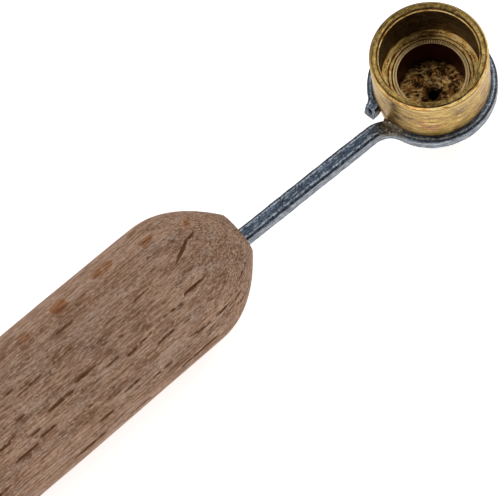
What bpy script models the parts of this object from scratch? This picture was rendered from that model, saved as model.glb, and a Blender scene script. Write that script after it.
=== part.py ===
"""Wax melting and pouring cup: a turned brass pot in an open steel wire ring, on a beech handle.

The tool is modelled with the pot's axis on Z, +X running along the handle towards the pot
and Z = 0 on the table that it lies on. An empty then centres the whole tool over the origin.
Lengths are in metres.
"""

import math

import bpy

MM = 0.001
FIT_GAP = 0.3 * MM
WELD = 0.00001

# Handle: turned beech with a domed nose, a small flat facet, a slight swell and a rounded butt.
HANDLE_RADIUS = 9.35 * MM
HANDLE_LENGTH = 104.0 * MM
SWELL = 0.28 * MM
SWELL_PLACE = 55.0 * MM
NOSE_LENGTH = 10.5 * MM
NOSE_CURVE = 2.15
NOSE_FLAT_RADIUS = 3.1 * MM
BUTT_LENGTH = 6.0 * MM
BUTT_FLAT_RADIUS = 5.0 * MM
TANG_HOLE_RADIUS = 1.7 * MM
TANG_HOLE_DEPTH = 28.0 * MM
NOSE_TO_POT_AXIS = 31.84 * MM
HANDLE_Y = 1.72 * MM
HANDLE_STEPS = 48
NOSE_SEGMENTS = 10
GRIP_SEGMENTS = 8
BUTT_SEGMENTS = 6

# Holder: one rectangular steel wire, straight in the handle and bent round the pot's neck.
# The shank leans from the pot's line, so that the tang enters the nose beside its middle.
WIRE_WIDTH = 1.95 * MM
WIRE_HEIGHT = 2.15 * MM
WIRE_EDGE = 0.25 * MM
RING_RADIUS = 7.5 * MM
SHANK_LEAN = math.radians(1.57)
SHANK_OFFSET = -0.15 * MM
THROAT_RADIUS = 3.7 * MM
TANG_LENGTH = 26.0 * MM
RING_END_ANGLE = math.radians(154.0)
STUB_RADIUS = 2.1 * MM
STUB_SWEEP = math.radians(52.0)
STUB_LENGTH = 0.1 * MM
THROAT_SEGMENTS = 8
RING_SEGMENTS = 44
STUB_SEGMENTS = 6

# Pot: brass, heights measured from the middle of the wire ring.
POT_RADIUS = 7.55 * MM
POT_BORE = 6.3 * MM
RIM_HEIGHT = 9.3 * MM
RIM_CHAMFER = 0.22 * MM
SHOULDER_DEPTH = 5.8 * MM
SOCKET_RADIUS = 5.15 * MM
NECK_RADIUS = 6.2 * MM
LIP_RADIUS = 7.2 * MM
LIP_THICKNESS = 1.4 * MM
POT_FOOT_RADIUS = 6.0 * MM
POT_BOTTOM = -4.9 * MM
FOOT_OPENING = 3.2 * MM
POT_STEPS = 64

# Sleeve and nozzle: the sleeve holds the nozzle's flange down on the pot's foot.
SLEEVE_RADIUS = SOCKET_RADIUS - FIT_GAP
SLEEVE_BORE = 4.4 * MM
FLOOR_DEPTH = 11.0 * MM
FLOOR_STEP = 0.25 * MM
FLOOR_DISH = 1.2 * MM
DISH_RADIUS = 3.7 * MM
FLOOR_BOSS_RADIUS = 4.1 * MM
FLANGE_THICKNESS = 0.9 * MM
SPIGOT_RADIUS = 2.9 * MM
SPIGOT_BOTTOM = -5.7 * MM
SPOUT_RADIUS = 1.25 * MM
SPOUT_TIP_RADIUS = 0.95 * MM
OUTLET_RADIUS = 0.6 * MM
SLEEVE_STEPS = 48
NOZZLE_STEPS = 32

# Solder: a low fillet on top of the wire's throat, against the pot's wall.
SOLDER_START = math.radians(181.0)
SOLDER_END = math.radians(200.0)
SOLDER_RADIUS = 0.42 * MM
SOLDER_END_SHARE = 0.45
SOLDER_SEGMENTS = 10

# Places that follow from the sizes above.
RING_Z = HANDLE_RADIUS
RING_OUTER = RING_RADIUS + WIRE_WIDTH / 2
WIRE_TOP = WIRE_HEIGHT / 2
POT_SKIRT = WIRE_TOP + FIT_GAP
FLOOR_Z = RIM_HEIGHT - FLOOR_DEPTH
SHOULDER_Z = RIM_HEIGHT - SHOULDER_DEPTH

WOOD = ("beech", (0.40, 0.25, 0.16), 0.62, 0.0)
STEEL = ("zinc_plated_steel", (0.30, 0.33, 0.37), 0.42, 1.0)
BRASS = ("turned_brass", (0.62, 0.43, 0.14), 0.36, 1.0)
DARK_BRASS = ("sooted_brass", (0.34, 0.24, 0.10), 0.5, 1.0)
SOLDER = ("solder", (0.42, 0.41, 0.33), 0.4, 1.0)


def clear_scene():
    for old in list(bpy.data.objects):
        bpy.data.objects.remove(old, do_unlink=True)


def new_collection(name):
    collection = bpy.data.collections.new(name)
    bpy.context.scene.collection.children.link(collection)
    return collection


def new_material(name, colour, roughness, metallic):
    material = bpy.data.materials.new(name)
    material.use_nodes = True
    shader = material.node_tree.nodes["Principled BSDF"]
    shader.inputs["Base Color"].default_value = (*colour, 1.0)
    shader.inputs["Roughness"].default_value = roughness
    shader.inputs["Metallic"].default_value = metallic
    return material


def arc(centre, radius, start, end, count):
    """Points on a circular arc from the start angle to the end angle, both included."""
    angles = [start + (end - start) * i / count for i in range(count + 1)]
    return [(centre[0] + radius * math.cos(a), centre[1] + radius * math.sin(a)) for a in angles]


def turned(name, profile, steps, parent, collection, finish):
    """A turned piece: its (radius, height) outline, outer side downwards, spun about Z."""
    mesh = bpy.data.meshes.new(name)
    points = [(radius, 0.0, height) for radius, height in profile]
    edges = [(i, (i + 1) % len(points)) for i in range(len(points))]
    mesh.from_pydata(points, edges, [])
    piece = bpy.data.objects.new(name, mesh)
    collection.objects.link(piece)
    piece.parent = parent
    spin = piece.modifiers.new("spin", "SCREW")
    spin.axis = "Z"
    spin.angle = math.tau
    spin.steps = steps
    spin.render_steps = steps
    spin.use_merge_vertices = True
    spin.merge_threshold = WELD
    spin.use_smooth_shade = True
    mesh.materials.append(new_material(*finish))
    return piece


def swelled(back):
    """Radius of the grip's long middle part, at a distance back from the nose."""
    share = (back - SWELL_PLACE) / (SWELL_PLACE - NOSE_LENGTH)
    return HANDLE_RADIUS - SWELL * share**2


def grip_outline():
    """(radius, distance back from the nose) from the nose's facet to the butt's flat face."""
    nose_radius = swelled(NOSE_LENGTH)
    butt_start = HANDLE_LENGTH - BUTT_LENGTH
    outline = []
    for i in range(NOSE_SEGMENTS):
        share = i / NOSE_SEGMENTS
        radius = nose_radius - (nose_radius - NOSE_FLAT_RADIUS) * (1.0 - share) ** NOSE_CURVE
        outline.append((radius, NOSE_LENGTH * share))
    for i in range(GRIP_SEGMENTS):
        back = NOSE_LENGTH + (butt_start - NOSE_LENGTH) * i / GRIP_SEGMENTS
        outline.append((swelled(back), back))
    for i in range(BUTT_SEGMENTS + 1):
        turn = math.pi / 2 * i / BUTT_SEGMENTS
        radius = BUTT_FLAT_RADIUS + (swelled(butt_start) - BUTT_FLAT_RADIUS) * math.cos(turn)
        outline.append((radius, butt_start + BUTT_LENGTH * math.sin(turn)))
    return outline


def tang_shift(back):
    """How far the tang's middle lies from the grip's axis, at a distance back from the nose."""
    along = NOSE_TO_POT_AXIS + back
    return SHANK_OFFSET / math.cos(SHANK_LEAN) + along * math.tan(SHANK_LEAN) - HANDLE_Y


def make_handle(parent, collection):
    """The grip, laid along X, with a blind hole that follows the leaning tang."""
    deep = -TANG_HOLE_DEPTH
    bottom_shift = tang_shift(TANG_HOLE_DEPTH)
    loops = [(TANG_HOLE_RADIUS, deep, bottom_shift), (TANG_HOLE_RADIUS, 0.0, tang_shift(0.0))]
    loops += [(radius, -back, 0.0) for radius, back in grip_outline()]
    points = []
    for radius, x, shift in loops:
        for i in range(HANDLE_STEPS):
            turn = math.tau * i / HANDLE_STEPS
            points.append((x, shift + radius * math.cos(turn), radius * math.sin(turn)))
    faces = []
    for loop in range(len(loops) - 1):
        for i in range(HANDLE_STEPS):
            here = loop * HANDLE_STEPS
            nearby = (i + 1) % HANDLE_STEPS
            faces.append((here + nearby, here + i, here + HANDLE_STEPS + i, here + HANDLE_STEPS + nearby))
    # The hole's bottom and the butt's flat face each close with a fan of triangles.
    last = (len(loops) - 1) * HANDLE_STEPS
    hole_middle = len(points)
    butt_middle = hole_middle + 1
    points += [(deep, bottom_shift, 0.0), (-HANDLE_LENGTH, 0.0, 0.0)]
    for i in range(HANDLE_STEPS):
        nearby = (i + 1) % HANDLE_STEPS
        faces.append((hole_middle, i, nearby))
        faces.append((butt_middle, last + nearby, last + i))
    mesh = bpy.data.meshes.new("handle")
    mesh.from_pydata(points, [], faces)
    mesh.shade_smooth()
    mesh.materials.append(new_material(*WOOD))
    handle = bpy.data.objects.new("handle", mesh)
    handle.parent = parent
    handle.location = (-NOSE_TO_POT_AXIS, HANDLE_Y, RING_Z)
    collection.objects.link(handle)
    return handle


def leaned(point):
    """A point of the wire's centre line, turned about the pot's axis by the shank's lean."""
    x, y = point
    cos_lean = math.cos(SHANK_LEAN)
    sin_lean = math.sin(SHANK_LEAN)
    return (x * cos_lean + y * sin_lean, y * cos_lean - x * sin_lean)


def wire_route():
    """Centre line of the wire in plan: tang and shank, throat bend, ring, then the cut stub."""
    # The throat bend touches the shank's line from its -Y side and the ring from outside.
    throat_y = SHANK_OFFSET - THROAT_RADIUS
    throat_x = -math.sqrt((RING_RADIUS + THROAT_RADIUS) ** 2 - throat_y**2)
    ring_start = math.atan2(throat_y, throat_x) + math.tau
    tang_end = (-NOSE_TO_POT_AXIS - TANG_LENGTH, SHANK_OFFSET)
    throat = arc((throat_x, throat_y), THROAT_RADIUS, math.pi / 2, ring_start - math.pi, THROAT_SEGMENTS)
    ring = arc((0.0, 0.0), RING_RADIUS, ring_start, RING_END_ANGLE + math.tau, RING_SEGMENTS)
    # The stub bend turns the other way, out of the ring.
    stub_reach = RING_RADIUS + STUB_RADIUS
    stub_centre = (stub_reach * math.cos(RING_END_ANGLE), stub_reach * math.sin(RING_END_ANGLE))
    stub_start = RING_END_ANGLE - math.pi
    stub = arc(stub_centre, STUB_RADIUS, stub_start, stub_start - STUB_SWEEP, STUB_SEGMENTS)
    heading = RING_END_ANGLE + math.pi / 2 - STUB_SWEEP
    end_x = stub[-1][0] + STUB_LENGTH * math.cos(heading)
    end_y = stub[-1][1] + STUB_LENGTH * math.sin(heading)
    return [leaned(point) for point in [tang_end, *throat, *ring[1:], *stub[1:], (end_x, end_y)]]


def wire_section(guides):
    """The wire's rectangular section with its edges eased, as a flat guide curve."""
    half_w = WIRE_WIDTH / 2
    half_h = WIRE_HEIGHT / 2
    outline = [
        (half_w, WIRE_EDGE - half_h),
        (half_w - WIRE_EDGE, -half_h),
        (WIRE_EDGE - half_w, -half_h),
        (-half_w, WIRE_EDGE - half_h),
        (-half_w, half_h - WIRE_EDGE),
        (WIRE_EDGE - half_w, half_h),
        (half_w - WIRE_EDGE, half_h),
        (half_w, half_h - WIRE_EDGE),
    ]
    section = poly_curve("wire_section", [(x, y, 0.0) for x, y in outline], cyclic=True)
    guide = bpy.data.objects.new("wire_section", section)
    guide.hide_render = True
    guide.display_type = "WIRE"
    guides.objects.link(guide)
    return guide


def poly_curve(name, points, cyclic=False):
    curve = bpy.data.curves.new(name, "CURVE")
    curve.dimensions = "3D"
    curve.render_resolution_u = 0
    spline = curve.splines.new("POLY")
    spline.points.add(len(points) - 1)
    for knot, point in zip(spline.points, points):
        knot.co = (*point, 1.0)
    spline.use_cyclic_u = cyclic
    return curve


def make_holder(parent, collection, guides):
    """The bent wire, swept along its route with its section kept upright."""
    curve = poly_curve("holder_wire", [(x, y, RING_Z) for x, y in wire_route()])
    curve.twist_mode = "Z_UP"
    curve.bevel_mode = "OBJECT"
    curve.bevel_object = wire_section(guides)
    curve.use_fill_caps = True
    curve.materials.append(new_material(*STEEL))
    holder = bpy.data.objects.new("holder_wire", curve)
    holder.parent = parent
    collection.objects.link(holder)
    return holder


def make_pot(parent, collection):
    """The turned pot: stepped bore, chamfered rim, neck groove, lip and foot."""
    lip_top = -POT_SKIRT
    lip_bottom = lip_top - LIP_THICKNESS
    seat = FLOOR_Z - FLOOR_STEP - FLANGE_THICKNESS - FIT_GAP
    profile = [
        (POT_BORE, RIM_HEIGHT),
        (POT_RADIUS - RIM_CHAMFER, RIM_HEIGHT),
        (POT_RADIUS, RIM_HEIGHT - RIM_CHAMFER),
        (POT_RADIUS, POT_SKIRT),
        (NECK_RADIUS, POT_SKIRT),
        (NECK_RADIUS, lip_top),
        (LIP_RADIUS, lip_top),
        (LIP_RADIUS, lip_bottom),
        (POT_FOOT_RADIUS, POT_BOTTOM),
        (FOOT_OPENING, POT_BOTTOM),
        (FOOT_OPENING, seat),
        (SOCKET_RADIUS, seat),
        (SOCKET_RADIUS, SHOULDER_Z),
        (POT_BORE, SHOULDER_Z),
    ]
    pot = turned("pot_body", profile, POT_STEPS, parent, collection, BRASS)
    pot.location = (0.0, 0.0, RING_Z)
    return pot


def make_sleeve(parent, collection):
    """The thin inner sleeve, flush with the shoulder and standing on the nozzle's flange."""
    bottom = FLOOR_Z - FLOOR_STEP + FIT_GAP
    profile = [
        (SLEEVE_BORE, SHOULDER_Z),
        (SLEEVE_RADIUS, SHOULDER_Z),
        (SLEEVE_RADIUS, bottom),
        (SLEEVE_BORE, bottom),
    ]
    sleeve = turned("inner_sleeve", profile, SLEEVE_STEPS, parent, collection, DARK_BRASS)
    sleeve.location = (0.0, 0.0, RING_Z)
    return sleeve


def make_nozzle(parent, collection):
    """The drilled nozzle: dished floor boss, flange, spigot and tapered spout."""
    flange_top = FLOOR_Z - FLOOR_STEP
    flange_bottom = flange_top - FLANGE_THICKNESS
    profile = [
        (OUTLET_RADIUS, FLOOR_Z - FLOOR_DISH),
        (DISH_RADIUS, FLOOR_Z),
        (FLOOR_BOSS_RADIUS, FLOOR_Z),
        (FLOOR_BOSS_RADIUS, flange_top),
        (SLEEVE_RADIUS, flange_top),
        (SLEEVE_RADIUS, flange_bottom),
        (SPIGOT_RADIUS, flange_bottom),
        (SPIGOT_RADIUS, SPIGOT_BOTTOM),
        (SPOUT_RADIUS, SPIGOT_BOTTOM - (SPIGOT_RADIUS - SPOUT_RADIUS) / 2),
        (SPOUT_TIP_RADIUS, -RING_Z),
        (OUTLET_RADIUS, -RING_Z),
    ]
    nozzle = turned("nozzle", profile, NOZZLE_STEPS, parent, collection, DARK_BRASS)
    nozzle.location = (0.0, 0.0, RING_Z)
    return nozzle


def make_solder(parent, collection):
    """A short bead of solder on the wire, along the foot of the pot's wall."""
    path_radius = POT_RADIUS + FIT_GAP + SOLDER_RADIUS
    height = RING_Z + WIRE_TOP + FIT_GAP + SOLDER_RADIUS
    path = arc((0.0, 0.0), path_radius, SOLDER_START, SOLDER_END, SOLDER_SEGMENTS)
    curve = poly_curve("solder_fillet", [(x, y, height) for x, y in path])
    curve.bevel_depth = SOLDER_RADIUS
    curve.bevel_resolution = 2
    curve.use_fill_caps = True
    for i, knot in enumerate(curve.splines[0].points):
        swell = math.sin(math.pi * i / SOLDER_SEGMENTS)
        knot.radius = SOLDER_END_SHARE + (1.0 - SOLDER_END_SHARE) * swell
    curve.materials.append(new_material(*SOLDER))
    solder = bpy.data.objects.new("solder_fillet", curve)
    solder.parent = parent
    collection.objects.link(solder)
    return solder


def centring_offset():
    """Where the working origin goes so that the tool's box is centred on X and Y, above Z = 0."""
    front = RING_OUTER
    back = -NOSE_TO_POT_AXIS - HANDLE_LENGTH
    right = min(HANDLE_Y - HANDLE_RADIUS, -RING_OUTER)
    left = max(HANDLE_Y + HANDLE_RADIUS, RING_OUTER)
    return (-(front + back) / 2, -(left + right) / 2, 0.0)


def build():
    clear_scene()
    tool = new_collection("wax_pouring_cup")
    guides = new_collection("guides")
    root = bpy.data.objects.new("tool_frame", None)
    tool.objects.link(root)
    root.location = centring_offset()
    make_handle(root, tool)
    make_holder(root, tool, guides)
    make_pot(root, tool)
    make_sleeve(root, tool)
    make_nozzle(root, tool)
    make_solder(root, tool)
    bpy.context.view_layer.update()


build()
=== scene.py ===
import math

import bpy
import numpy as np
from mathutils import Matrix, Vector, noise


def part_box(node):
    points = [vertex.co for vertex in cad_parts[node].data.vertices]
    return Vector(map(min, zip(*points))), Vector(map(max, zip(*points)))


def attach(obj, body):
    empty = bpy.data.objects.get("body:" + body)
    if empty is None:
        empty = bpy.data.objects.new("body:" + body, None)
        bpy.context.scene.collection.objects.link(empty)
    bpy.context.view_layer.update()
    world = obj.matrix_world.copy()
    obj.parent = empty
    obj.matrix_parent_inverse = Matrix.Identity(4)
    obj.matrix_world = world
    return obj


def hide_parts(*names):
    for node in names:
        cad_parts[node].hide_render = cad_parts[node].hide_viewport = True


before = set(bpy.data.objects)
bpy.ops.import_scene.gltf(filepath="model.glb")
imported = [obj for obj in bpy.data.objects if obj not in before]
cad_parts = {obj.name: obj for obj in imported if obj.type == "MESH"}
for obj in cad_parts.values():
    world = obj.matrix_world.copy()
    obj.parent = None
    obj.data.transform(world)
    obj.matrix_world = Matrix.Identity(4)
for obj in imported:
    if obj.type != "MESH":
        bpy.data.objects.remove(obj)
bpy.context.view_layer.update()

MM = 0.001


# ---------------------------------------------------------------- places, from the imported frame
def box(node):
    low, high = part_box(node)
    return np.array(low), np.array(high)


HANDLE_LOW, HANDLE_HIGH = box("handle")
POT_LOW, POT_HIGH = box("pot_body")
WIRE_LOW, WIRE_HIGH = box("holder_wire")
SLEEVE_LOW, SLEEVE_HIGH = box("inner_sleeve")
NOZZLE_LOW, NOZZLE_HIGH = box("nozzle")

HANDLE_RADIUS = (HANDLE_HIGH[2] - HANDLE_LOW[2]) / 2
HANDLE_LENGTH = HANDLE_HIGH[0] - HANDLE_LOW[0]
NOSE = np.array([HANDLE_HIGH[0], (HANDLE_LOW[1] + HANDLE_HIGH[1]) / 2, (HANDLE_LOW[2] + HANDLE_HIGH[2]) / 2])
POT_AXIS = (POT_LOW + POT_HIGH) / 2
RING_Z = (WIRE_LOW[2] + WIRE_HIGH[2]) / 2
POT_CENTRE = np.array([POT_AXIS[0], POT_AXIS[1], RING_Z])
POT_RADIUS = (POT_HIGH[0] - POT_LOW[0]) / 2
RIM = POT_HIGH[2] - RING_Z
POT_FOOT = POT_LOW[2] - RING_Z
SHOULDER = SLEEVE_HIGH[2] - RING_Z
FLOOR = NOZZLE_HIGH[2] - RING_Z
TABLE = -RING_Z

# ---------------------------------------------------------------- sizes that only the looks need
SWELL = 0.28 * MM
SWELL_PLACE = 55.0 * MM
NOSE_LENGTH = 10.5 * MM
NOSE_CURVE = 2.15
NOSE_FLAT = 3.1 * MM
BUTT_LENGTH = 6.0 * MM
BUTT_FLAT = 5.0 * MM

WIRE_WIDTH = 1.95 * MM
WIRE_HEIGHT = WIRE_HIGH[2] - WIRE_LOW[2]
WIRE_CORNER = 0.34 * MM
SHANK_GROWTH = 1.03
RING_SHRINK = 0.96
RING_RADIUS = 7.5 * MM
SHANK_LEAN = math.radians(1.57)
SHANK_OFFSET = -0.15 * MM
THROAT_RADIUS = 3.7 * MM
RING_END = math.radians(151.0)
STUB_RADIUS = 2.1 * MM
STUB_SWEEP = math.radians(52.0)
STUB_LENGTH = 0.32 * MM
TANG_LENGTH = 26.0 * MM

POT_BORE = 6.3 * MM
SOCKET = 5.06 * MM
SLEEVE_RADIUS = 4.94 * MM
SLEEVE_BORE = 4.4 * MM
OUTLET = 0.6 * MM


# ---------------------------------------------------------------- node materials
class Shader:
    """A material being built: short calls that add nodes and link them."""

    def __init__(self, name):
        self.material = bpy.data.materials.new(name)
        self.material.use_nodes = True
        self.tree = self.material.node_tree
        self.surface = self.tree.nodes["Principled BSDF"]

    def feed(self, socket, value):
        if isinstance(value, bpy.types.NodeSocket):
            self.tree.links.new(value, socket)
        else:
            socket.default_value = value

    def add(self, kind, inputs=None, **settings):
        node = self.tree.nodes.new(kind)
        for key, value in settings.items():
            setattr(node, key, value)
        for key, value in (inputs or {}).items():
            self.feed(node.inputs[key], value)
        return node

    def math(self, operation, a, b=0.0, clamp=False):
        return self.add("ShaderNodeMath", {0: a, 1: b}, operation=operation, use_clamp=clamp).outputs[0]

    def position(self):
        """The point in millimetres, in the model's own frame."""
        where = self.add("ShaderNodeTexCoord").outputs["Object"]
        return self.add("ShaderNodeVectorMath", {0: where, "Scale": 1.0 / MM}, operation="SCALE").outputs[0]

    def shifted(self, vector, offset):
        node = self.add("ShaderNodeVectorMath", {0: vector, 1: Vector(offset)}, operation="SUBTRACT")
        return node.outputs[0]

    def stretched(self, vector, factors):
        node = self.add("ShaderNodeVectorMath", {0: vector, 1: Vector(factors)}, operation="MULTIPLY")
        return node.outputs[0]

    def noise(self, vector, scale, detail=3.0, roughness=0.5, distortion=0.0):
        inputs = {"Vector": vector, "Scale": scale, "Detail": detail, "Roughness": roughness}
        return self.add("ShaderNodeTexNoise", {**inputs, "Distortion": distortion}).outputs["Fac"]

    def cells(self, vector, scale, randomness=1.0):
        inputs = {"Vector": vector, "Scale": scale, "Randomness": randomness}
        return self.add("ShaderNodeTexVoronoi", inputs)

    def ramp(self, factor, *stops):
        """A colour ramp; each stop is (position, grey level or colour)."""
        node = self.add("ShaderNodeValToRGB", {"Fac": factor})
        elements = node.color_ramp.elements
        while len(elements) < len(stops):
            elements.new(1.0)
        for element, (place, colour) in zip(elements, stops):
            element.position = place
            element.color = grey(colour) if isinstance(colour, float) else (*colour, 1.0)
        return node.outputs["Color"]

    def mix(self, factor, a, b, blend="MIX"):
        node = self.add("ShaderNodeMix", data_type="RGBA", blend_type=blend)
        self.feed(node.inputs[0], factor)
        self.feed(node.inputs[6], (*a, 1.0) if isinstance(a, tuple) else a)
        self.feed(node.inputs[7], (*b, 1.0) if isinstance(b, tuple) else b)
        return node.outputs[2]

    def attribute(self, name):
        return self.add("ShaderNodeAttribute", attribute_name=name).outputs["Fac"]

    def bump(self, height, strength, distance, normal=None):
        inputs = {"Height": height, "Strength": strength, "Distance": distance}
        node = self.add("ShaderNodeBump", inputs)
        if normal is not None:
            self.feed(node.inputs["Normal"], normal)
        return node.outputs["Normal"]

    def finish(self, **inputs):
        names = {key: key.replace("_", " ").title() for key in inputs}
        names.update(base_color="Base Color", ior="IOR", specular="Specular IOR Level")
        for key, value in inputs.items():
            self.feed(self.surface.inputs[names[key]], value)
        return self.material


def grey(level):
    return (level, level, level, 1.0)


def beech_material():
    """Raw turned beech: fibres along X, rays in upright planes seen as slits or as broad flakes."""
    s = Shader("beech")
    point = s.position()
    # Fine pores and fibres run along the handle; on the nose their ends show as dots.
    clouds = s.noise(s.stretched(point, (0.09, 0.36, 0.36)), 1.0, 4.0, 0.6)
    greys = s.noise(s.shifted(s.stretched(point, (0.16, 0.7, 0.7)), (9.0, 4.0, 2.0)), 1.0, 3.0, 0.6)
    fibres = s.noise(s.stretched(point, (0.40, 3.6, 3.6)), 1.0, 4.0, 0.7)
    speckle = s.noise(s.stretched(point, (1.9, 5.2, 5.2)), 1.0, 3.0, 0.75)
    colour = s.ramp(clouds, (0.32, (0.205, 0.110, 0.062)), (0.50, (0.298, 0.174, 0.110)), (0.68, (0.390, 0.238, 0.154)))
    colour = s.mix(s.ramp(greys, (0.45, 0.0), (0.68, 0.65)), colour, (0.385, 0.280, 0.220))
    colour = s.mix(s.ramp(fibres, (0.50, 0.0), (0.64, 0.65)), colour, (0.560, 0.380, 0.265))
    colour = s.mix(s.ramp(fibres, (0.36, 0.80), (0.48, 0.0)), colour, (0.138, 0.066, 0.036))
    colour = s.mix(s.ramp(speckle, (0.34, 0.90), (0.44, 0.0)), colour, (0.088, 0.042, 0.024))
    colour = s.mix(s.ramp(speckle, (0.56, 0.0), (0.68, 0.75)), colour, (0.660, 0.480, 0.365))
    # Rays: thin plates that hold the grain direction and stand at 148 degrees round the handle.
    turned = s.add("ShaderNodeVectorRotate", {"Vector": point, "Angle": math.radians(-58.0)},
                   rotation_type="X_AXIS").outputs[0]
    plates = s.cells(s.stretched(turned, (0.17, 1.30, 0.22)), 1.0)
    ray = s.ramp(plates.outputs["Distance"], (0.14, 1.0), (0.26, 0.0))
    small = s.cells(s.stretched(turned, (0.42, 2.60, 0.60)), 1.0)
    small_ray = s.ramp(small.outputs["Distance"], (0.16, 1.0), (0.30, 0.0))
    colour = s.mix(s.math("MULTIPLY", small_ray, 0.45), colour, (0.160, 0.072, 0.036))
    colour = s.mix(s.math("MULTIPLY", ray, 0.45), colour, (0.150, 0.066, 0.032))
    slit = s.attribute("slit")
    flake = s.attribute("flake")
    line = s.math("MULTIPLY", s.attribute("line"), s.ramp(speckle, (0.40, 1.0), (0.62, 0.35)))
    colour = s.mix(s.math("MULTIPLY", line, 0.85), colour, (0.090, 0.042, 0.018))
    flake_tone = s.ramp(fibres, (0.40, (0.130, 0.046, 0.017)), (0.60, (0.360, 0.150, 0.062)))
    colour = s.mix(s.math("MULTIPLY", flake, 0.90), colour, flake_tone)
    colour = s.mix(s.ramp(slit, (0.0, 0.0), (0.4, 0.85)), colour, s.ramp(slit, (0.25, (0.150, 0.064, 0.028)), (0.9, (0.070, 0.023, 0.006))))
    height = s.math("SUBTRACT", s.math("MULTIPLY", fibres, 0.9), s.math("MULTIPLY", ray, 0.35))
    height = s.math("ADD", height, s.math("MULTIPLY", speckle, 0.9))
    normal = s.bump(height, 0.55, 0.08 * MM)
    rough = s.ramp(fibres, (0.3, 0.66), (0.7, 0.82))
    return s.finish(base_color=colour, roughness=rough, normal=normal, specular=0.04)


def steel_material():
    """Dull zinc-coated wire: dark blue-grey on top, streaked along its length; the brighter flanks are painted
    reflection and the dark corners painted shade.
    """
    s = Shader("coated_steel")
    point = s.position()
    along, girth = s.attribute("along"), s.attribute("girth")
    drawn = s.add("ShaderNodeCombineXYZ", {
        "X": s.math("MULTIPLY", along, 0.9),
        "Y": s.math("MULTIPLY", girth, 3.6),
    }).outputs[0]
    clouds = s.noise(point, 0.8, 4.0, 0.6)
    streaks = s.noise(drawn, 1.0, 4.0, 0.7)
    grain = s.noise(point, 3.6, 4.0, 0.75)
    pits = s.cells(point, 1.6).outputs["Distance"]
    colour = s.ramp(clouds, (0.34, (0.038, 0.053, 0.080)), (0.52, (0.070, 0.096, 0.142)), (0.72, (0.122, 0.160, 0.222)))
    colour = s.mix(s.ramp(streaks, (0.36, 0.85), (0.47, 0.0)), colour, (0.028, 0.036, 0.052))
    colour = s.mix(s.ramp(streaks, (0.54, 0.0), (0.65, 0.90)), colour, (0.360, 0.415, 0.480))
    colour = s.mix(s.ramp(grain, (0.60, 0.0), (0.68, 0.90)), colour, (0.560, 0.620, 0.690))
    colour = s.mix(s.ramp(grain, (0.32, 0.80), (0.41, 0.0)), colour, (0.018, 0.022, 0.032))
    # Painted reflection of the pale floor brightens the flanks.
    flank_reflection = s.math("MULTIPLY", s.attribute("flank_reflection"), s.ramp(streaks, (0.36, 0.45), (0.50, 1.0)))
    colour = s.mix(flank_reflection, colour, s.ramp(streaks, (0.38, (0.052, 0.062, 0.080)), (0.50, (0.175, 0.196, 0.222)), (0.64, (0.500, 0.540, 0.580))))
    rub = s.math("MULTIPLY", s.attribute("rub"), s.ramp(grain, (0.44, 0.05), (0.56, 0.85)))
    colour = s.mix(rub, colour, (0.700, 0.750, 0.800))
    pit = s.ramp(pits, (0.10, 1.0), (0.18, 0.0))
    colour = s.mix(s.math("MULTIPLY", pit, 0.85), colour, (0.010, 0.010, 0.014))
    # Painted shade darkens the corners, and the top near the pot.
    edge = s.math("MULTIPLY", s.attribute("edge"), s.ramp(grain, (0.40, 1.0), (0.66, 0.45)))
    colour = s.mix(edge, colour, (0.016, 0.020, 0.030))
    burnt = s.ramp(grain, (0.42, (0.030, 0.022, 0.013)), (0.56, (0.110, 0.090, 0.058)), (0.66, (0.600, 0.520, 0.360)))
    colour = s.mix(s.attribute("stain"), colour, burnt)
    # Painted shade darkens the pit in the cut end.
    colour = s.mix(s.attribute("soot_and_shade"), colour, (0.012, 0.009, 0.012))
    height = s.math("ADD", s.math("MULTIPLY", grain, 0.6), s.math("MULTIPLY", streaks, 0.8))
    height = s.math("SUBTRACT", height, s.math("MULTIPLY", pit, 0.8))
    normal = s.bump(height, 0.55, 0.05 * MM)
    rough = s.ramp(grain, (0.3, 0.34), (0.7, 0.48))
    return s.finish(base_color=colour, roughness=rough, metallic=0.9, normal=normal)


def pot_coordinates(s):
    """The point from the pot's axis, and the same with height and radius as one fine coordinate."""
    point = s.shifted(s.position(), POT_CENTRE / MM)
    parts = s.add("ShaderNodeSeparateXYZ", {"Vector": point})
    flat = s.add("ShaderNodeCombineXYZ", {"X": parts.outputs["X"], "Y": parts.outputs["Y"]})
    radius = s.add("ShaderNodeVectorMath", {0: flat.outputs[0]}, operation="LENGTH").outputs["Value"]
    height = parts.outputs["Z"]
    lathe = s.add("ShaderNodeCombineXYZ", {
        "X": s.math("MULTIPLY", parts.outputs["X"], 0.30),
        "Y": s.math("MULTIPLY", parts.outputs["Y"], 0.30),
        "Z": s.math("MULTIPLY", s.math("ADD", height, radius), 5.0),
    }).outputs[0]
    return point, lathe, radius, height


def turned_tangent(s):
    """The direction of the lathe's marks, round the pot's axis."""
    return s.add("ShaderNodeTangent", direction_type="RADIAL", axis="Z").outputs[0]


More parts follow.
